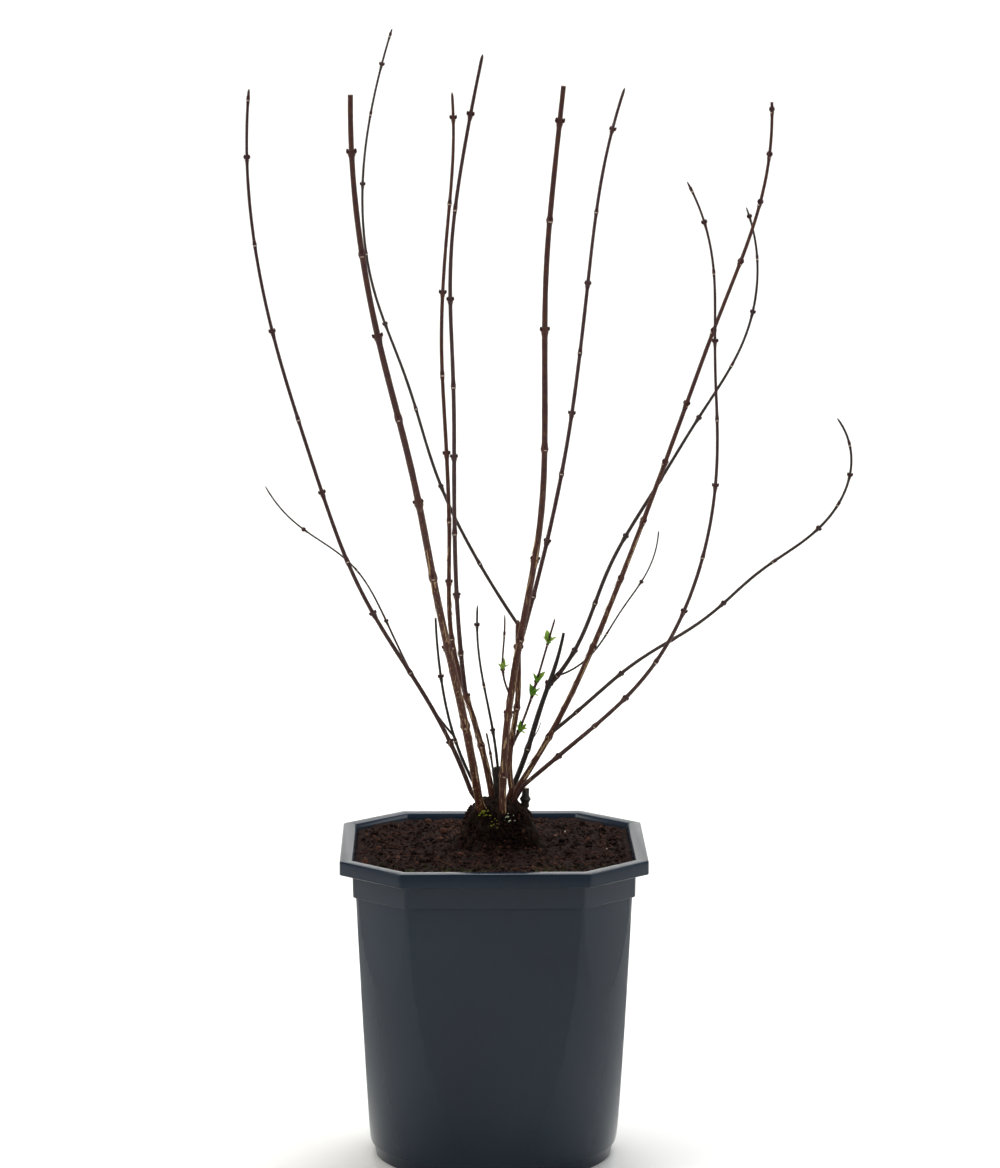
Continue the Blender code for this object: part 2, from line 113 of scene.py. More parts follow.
# Where finishes change, in metres up or, for the algae, back
PEEL_END = 0.62
PEEL_FULL = 0.36
RIM_FOOT = 0.262
RIM_OVER = 0.276
ALGAE_EDGE = (-0.075, -0.105)

# The stool: the point that its canes spread from, and (radius, height above the peat) of each ring
HEART = (4, 0, 282)
STOOL_CENTRE = (4.0, 0.0)
STOOL_RINGS = ((40, -3), (35, 5), (31, 14), (28, 24), (24, 34), (16, 40), (6, 42))
STOOL_SIDES = 60
STOOL_DEPTH = 0.82
STOOL_LOBES = ((3, 0.4, 0.06), (5, 1.9, 0.05))
STOOL_KNOBS = ((0.1, 4.2), (0.3, 2.2))  # (how many to a mm, how far they stand out)
STOOL_EDGE = 5.0  # edges longer than this are divided

# The canes
ROOT_SHARE = 0.8
STEP = 1.5
RING_SPACING = 3.2
TUBE_SIDES = 12
NODE_SWELL = 0.42
NODE_SPREAD = 3.6
WAVER = (0.05, 0.06)  # how fast a stem's thickness wavers along it, and by what share
STUMP_WAVER = (0.22, 0.5)
BARE_TIP = 3.0  # no buds nearer than this to a stem's end
POINT_LENGTH = 5.0
CUT_END = ((0.15, 0.86), (0.1, 0.45))  # (past the end, share of the radius) of each closing ring
POINT_END = ((-2, 0.8), (0, 0.3))
FULLER = 1.05  # a tube's radius against that of its flat-sided solid
FULLER_WHIP = 1.15
STUMP_RADIUS = 3.5  # stems thicker than this at the foot are old stumps, knobbly and broken off
BUD_SIZE = (1.15, 1.2, 1.7)  # half sizes: outwards, to the side, and along the stem
BUD_TILT = (8, 26)
BUD_TAPER = 0.45  # share that a bud narrows by to its point
SCAR_HALF = 0.5
SCAR_WIDTH = 1.25
STRIP_REACH = 230.0  # strips peel off over this length from the foot
STRIP_SHARE = 0.42  # or over this share of a short cane
STRIP_LENGTH = (9, 26)
STRIP_SPACING = (5, 15)
STRIP_HALF = (0.35, 0.8)
STRIP_LIFT = (0.3, 2.6)
STRIP_THICKNESS = 0.18
LEAF_LENGTH = (7.0, 12.0)
LEAF_RISE = (38.0, 76.0)
LEAF_HALF = (0.17, 0.23)  # half width as a share of the length
LEAF_BEND = (-0.25, 0.2)
LEAF_FOLD = 0.45
LEAF_THICKNESS = 0.22
PAIR_RISE = 1.2

# Places of the finishes on a stem's piece, after its bark, and on the crumbs
PITH, BUD, SCAR, STRIP, LEAF, PALE_LEAF = range(1, 7)
PEAT, GRAIN, FIBRE, MOSS, LICHEN = range(5)

# (middle, how many, finish) of each tuft at the front of the stool: yellow-green moss and pale lichen
TUFTS = (((-8, -21, 301), 26, MOSS), ((13, -24, 297), 9, LICHEN), ((1, -27, 293), 8, MOSS))

# The room, in metres
FLOOR_SIDE = 9.0
FLOOR_NEAR = -6.0
FLOOR_FAR = 3.2
FLOOR_BEND = 1.6
FLOOR_STEPS = 12
WALL_TOP = 9.0
SHRUB_MIDDLE = (0, 0, 0.45)
WALL_MIDDLE = (0, 4.5, 1.0)
# name, place, size, watts, colour and where it points, for each light
LIGHTS = (("key", (-2.8, -0.9, 2.6), 2.4, 72, (1, 0.98, 0.95), SHRUB_MIDDLE),
          ("fill", (2.8, -0.5, 2.2), 2.2, 46, (0.94, 0.97, 1), SHRUB_MIDDLE),
          ("back", (0.4, 2.2, 3.6), 3.0, 120, (0.95, 0.97, 1), SHRUB_MIDDLE),
          ("wall", (0.0, 1.2, 4.5), 3.0, 150, (1, 1, 1), WALL_MIDDLE))
ROOM_LIGHT = 0.3
CAMERA_PLACE = (-0.0442, -3.7733, 1.0825)
CAMERA_PITCH = 8.85  # degrees down
CAMERA_YAW = -0.76
CAMERA_LENS = 138.7

# host: what the stem grows from
# foot: (across, back, up) of a foot on the stool, or the length along its host where it leaves
# lean, fore: degrees from plumb to the right and to the back, at even steps along the stem
# thick: diameters at even steps along the stem
# nodes: length of each internode from the foot up, then tip: the length past the last node
# turn: where the first pair of buds points, in degrees from the right; each next pair is turned by 90
# leaves: pairs of young leaves at each node
Stem = namedtuple("Stem", "host foot lean fore thick nodes tip turn end leaves", defaults=(90, "point", ()))

STEMS = {
    "old_stump": Stem("stool", (6, 5, 312), (-5, -4), (2, 0), (9.5, 7.5), (), 24, end="cut"),
    "right_stump": Stem("stool", (27, -3, 303), (4, 2), (0, 0), (7.5, 6.0), (), 16, end="cut"),
    "far_left_cane": Stem("stool", (-19, 3, 315), (-20, -33, -20, -17, -8, 5), (4, 10, 5), (3.8, 2.4),
                          (45, 70, 58, 51, 61, 67, 77, 77, 73, 51), 9, turn=0),
    "left_cane": Stem("stool", (-11, -14, 302), (-8, -12, -10, -14, -8, 1), (-18, -14, -6), (6.8, 4.0),
                      (83, 74, 67, 67, 77, 71, 71, 83), 48, end="cut"),
    "dark_left_stem": Stem("stool", (-15, 5, 319), (-30, -12, -2), (20, 6), (2.8, 1.9), (43, 55), 52,
                           end="cut"),
    "mid_left_cane": Stem("stool", (-3, 2, 323), (-11, -17, 0, -2, -3, 3, 5, -4), (-4, 6, 9),
                          (5.4, 3.6, 3.2, 2.9, 2.4), (33, 44, 53, 47, 53, 56, 68, 68, 77, 71), 23),
    "mid_right_cane": Stem("mid_left_cane", 80, (-7, -2, 0, -2, 8, 12), (-20, -20, -14), (3.9, 2.6),
                           (41, 55, 61, 70, 67, 76, 81, 79), 52),
    "centre_cane": Stem("stool", (8, -18, 299), (-1, 8, 10, 1, 0, 5, 6), (1, -6, -6), (6.0, 3.9),
                        (34, 53, 66, 69, 97, 100, 94, 81), 31, turn=100, end="cut"),
    "fork_stem": Stem("stool", (16, -4, 318), (-11, 10, 0, 0), (4, 3), (4.9, 4.3), (71, 50), 25),
    "top_shoot": Stem("fork_stem", 142, (-35, -28, -17, -22, -5, 9, 18), (14, 23, 18), (2.7, 1.6),
                      (62, 73, 73, 79, 67, 62, 65, 45, 28), 7),
    "right_of_centre_cane": Stem("fork_stem", 120, (17, 13, 8, 8, 19), (14, 22, 16), (3.8, 2.5),
                                 (48, 48, 61, 53, 56, 61, 66, 74), 40),
    "stub_cane": Stem("stool", (20, 12, 324), (23, 17, 20, 11), (6, 6), (4.4, 4.4, 2.4), (28, 57), 47,
                      end="cut"),
    "loop_shoot": Stem("stub_cane", 84, (44, 21, 32, 32, 32, 8, -21), (14, 12, 6), (3.4, 2.4, 1.6),
                       (12, 25, 46, 62, 58, 62, 55, 48, 48, 35), 10),
    "right_whip": Stem("loop_shoot", 12, (74, 35, 36, 4), (26, 14), (1.6, 1.1), (58, 53, 47), 2),
    "far_right_cane": Stem("stool", (20, 5, 316), (34, 24, 21, 20, 20, -2), (5, 6, 2), (5.0, 2.4),
                           (53, 85, 63, 53, 53, 53, 66, 63, 53, 41, 38), 8, turn=45, end="cut"),
    "right_cane": Stem("stool", (25, -10, 322), (47, 46, 25, 9, -3, -2, -29), (-20, -12, -6), (3.7, 1.8),
                       (41, 44, 35, 44, 50, 53, 62, 59, 65, 59, 41, 30), 8, turn=0),
    "low_right_shoot": Stem("far_right_cane", 57, (49, 47, 58, 45, 54, 21, -37), (-14, -16, -5),
                            (2.9, 1.7), (30, 50, 54, 54, 58, 46, 28, 26, 28), 25),
    "left_whip": Stem("dark_left_stem", 47, (-42, -28, -28, -57, -29), (16, 6), (1.8, 1.2),
                      (33, 81, 52, 56), 52),
    "short_stem": Stem("old_stump", 18, (-5, -11, 3), (-12, -8), (2.4, 1.7), (39, 43, 53), 19, turn=0),
    "grey_stub": Stem("stool", (1, -4, 325), (-6, -12), (-8, -8), (2.0, 1.6), (25,), 19, end="cut"),
    "dry_twig": Stem("stub_cane", 34, (43, 12), (-6, -6), (0.9, 0.8), (), 21),
    "sprouting_shoot": Stem("centre_cane", 103, (-28, 3, -1), (-14, -8), (1.9, 1.4), (24, 33), 18, turn=0,
                            leaves=(2, 0)),
    "leafy_shoot": Stem("fork_stem", 34, (24, 16, 15), (-16, -12), (2.4, 1.6), (18, 35, 14, 37), 24,
                        turn=20, leaves=(1, 2, 2, 2)),
}

OLD_CANES = ("left_cane", "centre_cane", "mid_left_cane", "far_right_cane", "fork_stem")
GREY_STEMS = ("old_stump", "right_stump", "grey_stub", "dry_twig", "dark_left_stem", "stub_cane",
              "short_stem")
WHIPS = ("top_shoot", "loop_shoot", "right_whip", "left_whip", "low_right_shoot")


# Materials

def hex_colour(code):
    """Linear red, green, blue and alpha of an sRGB hex colour."""
    parts = [int(code[index:index + 2], 16) / 255 for index in (0, 2, 4)]
    return (*[part / 12.92 if part <= 0.04045 else ((part + 0.055) / 1.055) ** 2.4 for part in parts], 1)


def add_node(tree, kind, settings=None, **links):
    """Add a node, set its properties, and link or set its sockets by name."""
    node = tree.nodes.new("ShaderNode" + kind)
    for key, value in (settings or {}).items():
        setattr(node, key, value)
    for key, value in links.items():
        name = key.replace("_", " ")
        socket = node.inputs[int(name[1:])] if name[0] == "i" and name[1:].isdigit() else node.inputs[name]
        if isinstance(value, bpy.types.NodeSocket):
            tree.links.new(value, socket)
        else:
            socket.default_value = value
    return node


def new_material(name, roughness, gloss=0.3):
    """A Principled material; gloss is how strongly its face mirrors the room."""
    made = bpy.data.materials.new(name)
    made.use_nodes = True
    shader = made.node_tree.nodes["Principled BSDF"]
    shader.inputs["Roughness"].default_value = roughness
    shader.inputs["Specular IOR Level"].default_value = gloss
    return made, made.node_tree, shader


def object_place(tree, scale=(1, 1, 1)):
    """Object coordinates, stretched by a scale on each axis."""
    place = add_node(tree, "TexCoord").outputs["Object"]
    return add_node(tree, "Mapping", Vector=place, Scale=scale).outputs["Vector"]


def spots(tree, per_metre, low, high, scale=(1, 1, 1), detail=4.0):
    """A noise mask from 0 to 1 between two levels; per_metre is one over the pattern's real size."""
    grain = add_node(tree, "TexNoise", Vector=object_place(tree, scale), Scale=per_metre, Detail=detail)
    mask = add_node(tree, "MapRange", Value=grain.outputs["Fac"], From_Min=low, From_Max=high)
    return mask.outputs["Result"]


def mix(tree, mask, first, second):
    """Colour between two, each a hex code or a socket."""
    ends = [hex_colour(end) if isinstance(end, str) else end for end in (first, second)]
    return add_node(tree, "MixRGB", Fac=mask, Color1=ends[0], Color2=ends[1]).outputs["Color"]


def height_mask(tree, low, high, axis="Z"):
    """0 at a height, or a place along another axis, to 1 at the other, in metres."""
    apart = add_node(tree, "SeparateXYZ", Vector=object_place(tree))
    mask = add_node(tree, "MapRange", Value=apart.outputs[axis], From_Min=low, From_Max=high)
    return mask.outputs["Result"]


def bump(tree, shader, mask, depth, strength=0.6):
    """Relief of a mask, deep in metres."""
    relief = add_node(tree, "Bump", Height=mask, Distance=depth, Strength=strength)
    tree.links.new(relief.outputs["Normal"], shader.inputs["Normal"])


def bark(name, young, old, straw, straw_level):
    """Bark of a cane: satin, with pale pores, and split into straw-coloured strips low down."""
    made, tree, shader = new_material(name, 0.48)
    # cracks and strips run along the cane: 1.1 mm across and 14 mm long
    strips = spots(tree, 900, straw_level, straw_level + 0.07, scale=(1, 1, 0.08))
    low_down = height_mask(tree, PEEL_END, PEEL_FULL)
    peel = add_node(tree, "Math", {"operation": "MULTIPLY"}, i0=strips, i1=low_down).outputs["Value"]
    # patches of 6 mm, and pores of 0.7 mm
    shade = mix(tree, spots(tree, 160, 0.35, 0.7), young, old)
    aged = mix(tree, low_down, shade, old)
    flecks = spots(tree, 1400, 0.66, 0.72)
    fleck_colour = mix(tree, flecks, aged, "8A7466")
    tree.links.new(mix(tree, peel, fleck_colour, straw), shader.inputs["Base Color"])
    bump(tree, shader, strips, 0.0004)
    return made


def slate_plastic():
    """Polypropylene, injection moulded: dark slate blue with a satin sheen, some scuffs, and lighter specks
    towards the rim top that are partly a dusting and partly painted highlight.
    """
    made, tree, shader = new_material("slate_polypropylene_moulded", 0.2, gloss=0.27)
    base = mix(tree, spots(tree, 9, 0, 1, detail=1.0), "101B28", "182634")
    # specks of 1.4 mm lighten the rim more towards its top: partly a dusting, partly painted highlight
    # where the rim top catches the light; scuffs are 2 mm wide and run down the wall
    rim_dust_and_highlight = add_node(tree, "Math", {"operation": "MULTIPLY"}, i0=spots(tree, 700, 0.6, 0.75),
                    i1=height_mask(tree, RIM_FOOT, RIM_OVER)).outputs["Value"]
    # the lighter colour in the rim specks is partly a dusting and partly painted highlight
    dust_and_highlight_colour = mix(tree, rim_dust_and_highlight, base, "2C323B")
    scratches = spots(tree, 500, 0.74, 0.78, scale=(1, 1, 0.03))
    tree.links.new(mix(tree, scratches, dust_and_highlight_colour, "222B34"), shader.inputs["Base Color"])
    rough = add_node(tree, "MapRange", Value=spots(tree, 40, 0, 1), To_Min=0.13, To_Max=0.25)
    tree.links.new(rough.outputs["Result"], shader.inputs["Roughness"])
    shader.inputs["IOR"].default_value = 1.49  # of polypropylene
    return made


def peat_fibre():
    """Moist moss peat, loose: nearly black crumbs with rusty fibres, and green algae at the front edge."""
    made, tree, shader = new_material("moss_peat_loose", 0.95, gloss=0.08)
    # crumbs of 3 mm and fibres 1.1 mm thick
    base = mix(tree, spots(tree, 350, 0.35, 0.65), "0D0807", "25150F")
    rusty = mix(tree, spots(tree, 900, 0.62, 0.72, scale=(0.2, 1, 1)), base, "3C2118")
    front = add_node(tree, "Math", {"operation": "MULTIPLY"}, i0=spots(tree, 110, 0.5, 0.6),
                     i1=height_mask(tree, *ALGAE_EDGE, "Y")).outputs["Value"]
    tree.links.new(mix(tree, front, rusty, "2F3218"), shader.inputs["Base Color"])
    bump(tree, shader, spots(tree, 800, 0.2, 0.8), 0.001)
    return made


def old_wood():
    """Old shrub wood, weathered: nearly black, ridged, with dull green lichen flecks."""
    made, tree, shader = new_material("mock_orange_wood_weathered", 0.88, gloss=0.08)
    # ridges 2.4 mm across and 10 mm long, and lichen flecks of 4 mm
    ridges = spots(tree, 420, 0.35, 0.65, scale=(1, 1, 0.25))
    base = mix(tree, ridges, "0D0908", "2A1C14")
    lichen = mix(tree, spots(tree, 260, 0.7, 0.74), base, "5A5C40")
    tree.links.new(lichen, shader.inputs["Base Color"])
    bump(tree, shader, ridges, 0.0012)
    return made


def plain_fleck(name, first, second, roughness, per_metre=700):
    """A small thing's finish: two close colours in fine grains."""
    made, tree, shader = new_material(name, roughness, gloss=0.15)
    grain = spots(tree, per_metre, 0.35, 0.65)
    tree.links.new(mix(tree, grain, first, second), shader.inputs["Base Color"])
    bump(tree, shader, grain, 0.0002, 0.3)
    return made


# Making meshes

def finish_mesh(name, bm, looks, angle=50):
    """Turn a bmesh in millimetres into a piece in metres that rides on the frame."""
    bmesh.ops.recalc_face_normals(bm, faces=bm.faces)
    bmesh.ops.scale(bm, vec=(MM, MM, MM), verts=bm.verts)
    mesh = bpy.data.meshes.new(name)
    bm.to_mesh(mesh)
    bm.free()
    for look in looks:
        mesh.materials.append(look)
    mesh.shade_smooth()
    mesh.set_sharp_from_angle(angle=radians(angle))
    made = bpy.data.objects.new(name, mesh)
    bpy.context.scene.collection.objects.link(made)
    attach(made, "root")
    return made


def paint(points, look):
    """Give the faces round some points a finish; return those faces."""
    faces = list({face for point in points for face in point.link_faces})
    for face in faces:
        face.material_index = look
    return faces


def extrude_ring(bm, ring):
    """Extrude a loop of edges in place; return the new loop's edges and points."""
    made = bmesh.ops.extrude_edge_only(bm, edges=ring)["geom"]
    points = [item for item in made if isinstance(item, bmesh.types.BMVert)]
    fresh = set(points)
    edges = [item for item in made if isinstance(item, bmesh.types.BMEdge)
             and item.verts[0] in fresh and item.verts[1] in fresh]
    return edges, points


def read_stations(values, share):
    """Read a value at a share of the way along evenly spaced stations, by a Catmull-Rom curve."""
    spans = len(values) - 1
    index = min(int(share * spans), spans - 1)
    u = share * spans - index
    start, end = values[index], values[index + 1]
    before = values[index - 1] if index else 2 * start - end
    after = values[index + 2] if index + 2 <= spans else 2 * end - start
    return 0.5 * (2 * start + (end - before) * u + (2 * before - 5 * start + 4 * end - after) * u * u
                  + (3 * start - before - 3 * end + after) * u ** 3)


class Route:
    """A stem's path: its length, and its place, direction and thickness at any length along it."""

    def __init__(self, stem, start):
        self.stem = stem
        self.length = sum(stem.nodes) + stem.tip
        self.steps = ceil(self.length / STEP)
        self.points = [Vector(start)]
        self.root = (self.points[0] - Vector(HEART)) * ROOT_SHARE if stem.host == "stool" else Vector()
        for step in range(self.steps):
            ahead = self.direction((step + 0.5) / self.steps * self.length)
            self.points.append(self.points[-1] + ahead * self.length / self.steps)

    def direction(self, along):
        """Unit vector along the stem; below its foot, the way out of the stool's heart."""
        if along < 0:
            return self.root.normalized()
        share = min(along / self.length, 1)
        lean, fore = read_stations(self.stem.lean, share), read_stations(self.stem.fore, share)
        return Vector((tan(radians(lean)), tan(radians(fore)), 1)).normalized()

    def place(self, along):
        """A point on the stem's axis."""
        if along < 0:
            return self.points[0] + self.direction(along) * along
        exact = along / self.length * self.steps
        index = min(int(exact), self.steps - 1)
        return self.points[index].lerp(self.points[index + 1], exact - index)

    def radius(self, along):
        """Half the stem's thickness."""
        share = min(max(along / self.length, 0), 1)
        return read_stations(self.stem.thick, share) / 2

    def frame(self, along):
        """Matrix that stands a flat ring across the stem, with its X axis to the right."""
        ahead = self.direction(along)
        right = (Vector((1, 0, 0)) - ahead * ahead.x).normalized()
        turn = Matrix((right, ahead.cross(right), ahead)).transposed().to_4x4()
        return Matrix.Translation(self.place(along)) @ turn

    def node_places(self):
        """Length along the stem of each node, with the way its buds point."""
        along = 0
        for index, internode in enumerate(self.stem.nodes):
            along += internode
            yield along, self.stem.turn + 90 * index


# The canes

def ring_radius(route, along, stops, fuller):
    """Radius at a ring: it swells at the nodes and wavers a little between them."""
    swell = sum(max(0, 1 - abs(along - stop) / NODE_SPREAD) for stop in stops)
    pace, share = STUMP_WAVER if route.radius(0) > STUMP_RADIUS else WAVER
    waver = noise.noise(Vector((along * pace, route.points[0].x, 3.0))) * share
    return route.radius(along) * fuller * (1 + NODE_SWELL * min(swell, 1) + waver)


def tube(bm, route, fuller):
    """The stem itself, in fine rings, with its end cut across its pale pith or drawn to a point."""
    stops = [along for along, _ in route.node_places()]
    blunt = route.stem.end == "cut"
    end = route.length - (0 if blunt else POINT_LENGTH)
    first = -route.root.length
    count = ceil((end - first) / RING_SPACING)
    stations = [(first + (end - first) * index / count, 1) for index in range(count + 1)]
    stations += [(route.length + past, share) for past, share in (CUT_END if blunt else POINT_END)]
    ring = before = None
    for along, share in stations:
        radius = ring_radius(route, along, stops, fuller) * share
        spin = Matrix.Rotation(along * 0.004, 4, "Z")
        placed = route.frame(min(along, route.length)) @ spin @ Matrix.Diagonal((radius, radius, 1, 1))
        if ring is None:
            bmesh.ops.create_circle(bm, cap_ends=True, segments=TUBE_SIDES, radius=1, matrix=placed)
            ring = list(bm.edges)
        else:
            ring, points = extrude_ring(bm, ring)
            bmesh.ops.transform(bm, matrix=placed @ before.inverted(), verts=points)
        before = placed
    cap = bmesh.ops.contextual_create(bm, geom=ring)["faces"]
    if blunt:
        for face in cap:
            face.material_index = PITH


def bud(bm, route, along, turn, dice):
    """A bud pressed against the stem, pointed and tilted out, over its pale leaf scar."""
    radius = route.radius(along) * 1.1
    # buds are fuller on thick canes and towards the top of each
    full = (0.5 + 0.45 * min(radius / 1.6, 1.2)) * (0.9 + 0.6 * along / route.length)
    stand = route.frame(along) @ Matrix.Rotation(radians(turn), 4, "Z")
    tilt = Matrix.Rotation(radians(dice.uniform(*BUD_TILT)), 4, "Y")
    place = stand @ Matrix.Translation((radius * 0.98, 0, 0.6)) @ tilt
    points = bmesh.ops.create_uvsphere(bm, u_segments=8, v_segments=6, radius=1)["verts"]
    for point in points:
        taper = 1 - BUD_TAPER * max(point.co.z, 0)
        point.co.x *= taper
        point.co.y *= taper
        point.co.z += 0.7  # most of the bud stands over its node
    shape = Matrix.Diagonal((*[size * full for size in BUD_SIZE], 1))
    bmesh.ops.transform(bm, matrix=place @ shape, verts=points)
    paint(points, BUD)
    scar = bmesh.ops.create_uvsphere(bm, u_segments=6, v_segments=4, radius=1)["verts"]
    under = stand @ Matrix.Translation((radius * 1.25, 0, -1.0))
    shape = Matrix.Diagonal((SCAR_HALF, SCAR_WIDTH * full, SCAR_HALF, 1))
    bmesh.ops.transform(bm, matrix=under @ shape, verts=scar)
    paint(scar, SCAR)


def peeling_strip(bm, route, along, turn, length, dice):
    """A papery strip of bark that lifts off the cane at its lower end."""
    grid = bmesh.ops.create_grid(bm, x_segments=1, y_segments=8, size=1)["verts"]
    half = dice.uniform(*STRIP_HALF)
    lift = dice.uniform(*STRIP_LIFT)
    for point in grid:
        share = (point.co.y + 1) / 2
        here = along + share * length
        away = route.radius(here) + 0.12 + lift * (1 - share) ** 3
        wide = half * (0.4 + 0.6 * sin(pi * min(share + 0.15, 1)))
        spot = route.frame(here) @ Matrix.Rotation(radians(turn + 10 * share), 4, "Z")
        point.co = spot @ Vector((away, point.co.x * wide, 0))
    bmesh.ops.solidify(bm, geom=paint(grid, STRIP), thickness=STRIP_THICKNESS)


def leaf_blade(bm, base, ahead, across, length, look, dice):
    """A folded young leaf, pointed, with its edges up and its tip bent up or back."""
    grid = bmesh.ops.create_grid(bm, x_segments=4, y_segments=7, size=1)["verts"]
    up = ahead.cross(across)
    half = length * dice.uniform(*LEAF_HALF)
    bend = dice.uniform(*LEAF_BEND)
    for point in grid:
        share = (point.co.y + 1) / 2
        side = point.co.x
        wide = half * (0.12 + sin(pi * share ** 0.85)) * (1 if share < 1 else 0.2)
        point.co = (base + ahead * length * share + across * side * wide
                    + up * (abs(side) * wide * LEAF_FOLD + bend * length * share * share))
    bmesh.ops.solidify(bm, geom=paint(grid, look), thickness=LEAF_THICKNESS)


def leaf_cluster(bm, route, along, turn, pairs, dice):
    """Young leaves at a node, each pair a little higher, smaller and turned by a right angle."""
    for pair in range(pairs + 2):
        for side in (0, 180):
            stand = route.frame(along + PAIR_RISE * pair).to_3x3()
            angle = radians(turn + side + 90 * pair + dice.uniform(-20, 20))
            out = stand @ Vector((cos(angle), sin(angle), 0))
            across = stand @ Vector((-sin(angle), cos(angle), 0))
            rise = radians(dice.uniform(*LEAF_RISE))
            ahead = out * cos(rise) + stand.col[2] * sin(rise)
            small = 1.1 - 0.2 * pair
            base = route.place(along + PAIR_RISE * pair) + out * route.radius(along) * 0.7
            length = dice.uniform(*LEAF_LENGTH) * small
            leaf_blade(bm, base, ahead, across, length, dice.choice((LEAF, PALE_LEAF)), dice)


def peel_bark(bm, route, dice):
    """Strips of old bark that come away over the lower part of a cane."""
    along = 2
    while along < min(route.length * STRIP_SHARE, STRIP_REACH):
        length = dice.uniform(*STRIP_LENGTH)
        peeling_strip(bm, route, along, dice.uniform(0, 360), length, dice)
        along += dice.uniform(*STRIP_SPACING)


def stem_finishes(name, looks):
    """The finishes of a stem's piece, each at its place."""
    skin = "young"
    for kind, names in (("old", OLD_CANES), ("grey", GREY_STEMS), ("whip", WHIPS)):
        if name in names:
            skin = kind
    return [looks[key] for key in (skin, "pith", "bud", "scar", "straw", "leaf", "pale_leaf")]


def make_canes(looks):
    """Each cane with its buds, scars, peeling bark and young leaves, in place of its plain solid."""
    dice = random.Random(5)
    routes = {}
    for name, stem in STEMS.items():
        start = Vector(stem.foot) if stem.host == "stool" else routes[stem.host].place(stem.foot)
        route = routes[name] = Route(stem, start)
        bm = bmesh.new()
        tube(bm, route, FULLER_WHIP if name in WHIPS else FULLER)
        for index, (along, turn) in enumerate(route.node_places()):
            if along > route.length - BARE_TIP:
                continue
            for side in (0, 180):
                bud(bm, route, along, turn + side, dice)
            if index < len(stem.leaves) and stem.leaves[index]:
                leaf_cluster(bm, route, along, turn, stem.leaves[index], dice)
        if name in OLD_CANES:
            peel_bark(bm, route, dice)
        piece = finish_mesh(name + "_grown", bm, stem_finishes(name, looks))
        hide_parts(name)


# The stool and the fill

def make_stool(look):
    """The knobbly woody crown, in place of its plain solid."""
    bm = bmesh.new()
    bmesh.ops.create_circle(bm, cap_ends=True, segments=STOOL_SIDES, radius=1)
    ring = list(bm.edges)
    points = list(bm.verts)
    for step, (radius, height) in enumerate(STOOL_RINGS):
        if step:
            ring, points = extrude_ring(bm, ring)
        for point in points:
            around = Vector((point.co.x, point.co.y, 0)).normalized()
            turn = around.to_2d().angle_signed(Vector((1, 0)), 0)
            lobes = sum(size * cos(count * turn + phase) for count, phase, size in STOOL_LOBES)
            reach = radius * (1 + lobes * (1 - max(height, 0) / STOOL_RINGS[-1][1] * 0.5))
            point.co = Vector((around.x * reach, around.y * reach, height))
    bmesh.ops.contextual_create(bm, geom=ring)
    long_edges = [edge for edge in bm.edges if edge.calc_length() > STOOL_EDGE]
    bmesh.ops.subdivide_edges(bm, edges=long_edges, cuts=3, use_grid_fill=True)
    bmesh.ops.scale(bm, vec=(1, STOOL_DEPTH, 1), verts=bm.verts)
    bmesh.ops.translate(bm, vec=(STOOL_CENTRE[0], STOOL_CENTRE[1], PEAT_TOP), verts=bm.verts)
    for point in bm.verts:
        out = Vector((point.co.x - STOOL_CENTRE[0], point.co.y - STOOL_CENTRE[1], 6)).normalized()
        point.co += out * sum(noise.noise(point.co * spacing) * reach for spacing, reach in STOOL_KNOBS)
    bmesh.ops.triangulate(bm, faces=[face for face in bm.faces if len(face.verts) > 4])
    piece = finish_mesh("stool_wood", bm, [look], angle=80)
    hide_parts("stool")


def peat_height(x, y):
    """Height of the fill: a flat top in the middle that falls gently to the pot's wall."""
    out = max(abs(x), abs(y), (abs(x) + abs(y)) * 0.72)
    share = min(max((out - PEAT_MOUND_HALF) / (PEAT_HALF - PEAT_MOUND_HALF), 0), 1)
    lumps = sum(noise.noise(Vector((x, y, layer)) * pace) * high for pace, layer, high in PEAT_LUMPS)
    return PEAT_TOP + (PEAT_EDGE - PEAT_TOP) * share + PEAT_LIFT + lumps


def stool_surface(turn, height):
    """A point on the stool's side at a turn round it and a height over the peat."""
    for (low_radius, low), (high_radius, high) in zip(STOOL_RINGS, STOOL_RINGS[1:]):
        if low <= height <= high:
            radius = low_radius + (high_radius - low_radius) * (height - low) / (high - low)
            break
    return Vector((STOOL_CENTRE[0] + radius * cos(turn), STOOL_CENTRE[1] + radius * STOOL_DEPTH * sin(turn),
                   PEAT_TOP + height))


def make_peat_face(look):
    """The crumbly face of the fill, cut to the pot's corners."""
    bm = bmesh.new()
    bmesh.ops.create_grid(bm, x_segments=PEAT_CELLS, y_segments=PEAT_CELLS, size=PEAT_HALF)
    cut = RIM_CORNER - (2 - sqrt(2)) * (RIM_HALF - PEAT_HALF)
    corner = PEAT_HALF - cut / 2
    for x_side in (-1, 1):
        for y_side in (-1, 1):
            everything = list(bm.verts) + list(bm.edges) + list(bm.faces)
            bmesh.ops.bisect_plane(bm, geom=everything, clear_outer=True, plane_no=(x_side, y_side, 0),
                                   plane_co=(corner * x_side, corner * y_side, 0))
    made = bmesh.ops.extrude_face_region(bm, geom=list(bm.faces), use_keep_orig=True)["geom"]
    top = {item for item in made if isinstance(item, bmesh.types.BMVert)}
    for point in bm.verts:
        height = peat_height(point.co.x, point.co.y)
        point.co.z = height if point in top else PEAT_EDGE - PEAT_DEPTH
    finish_mesh("peat_face", bm, [look], angle=180)


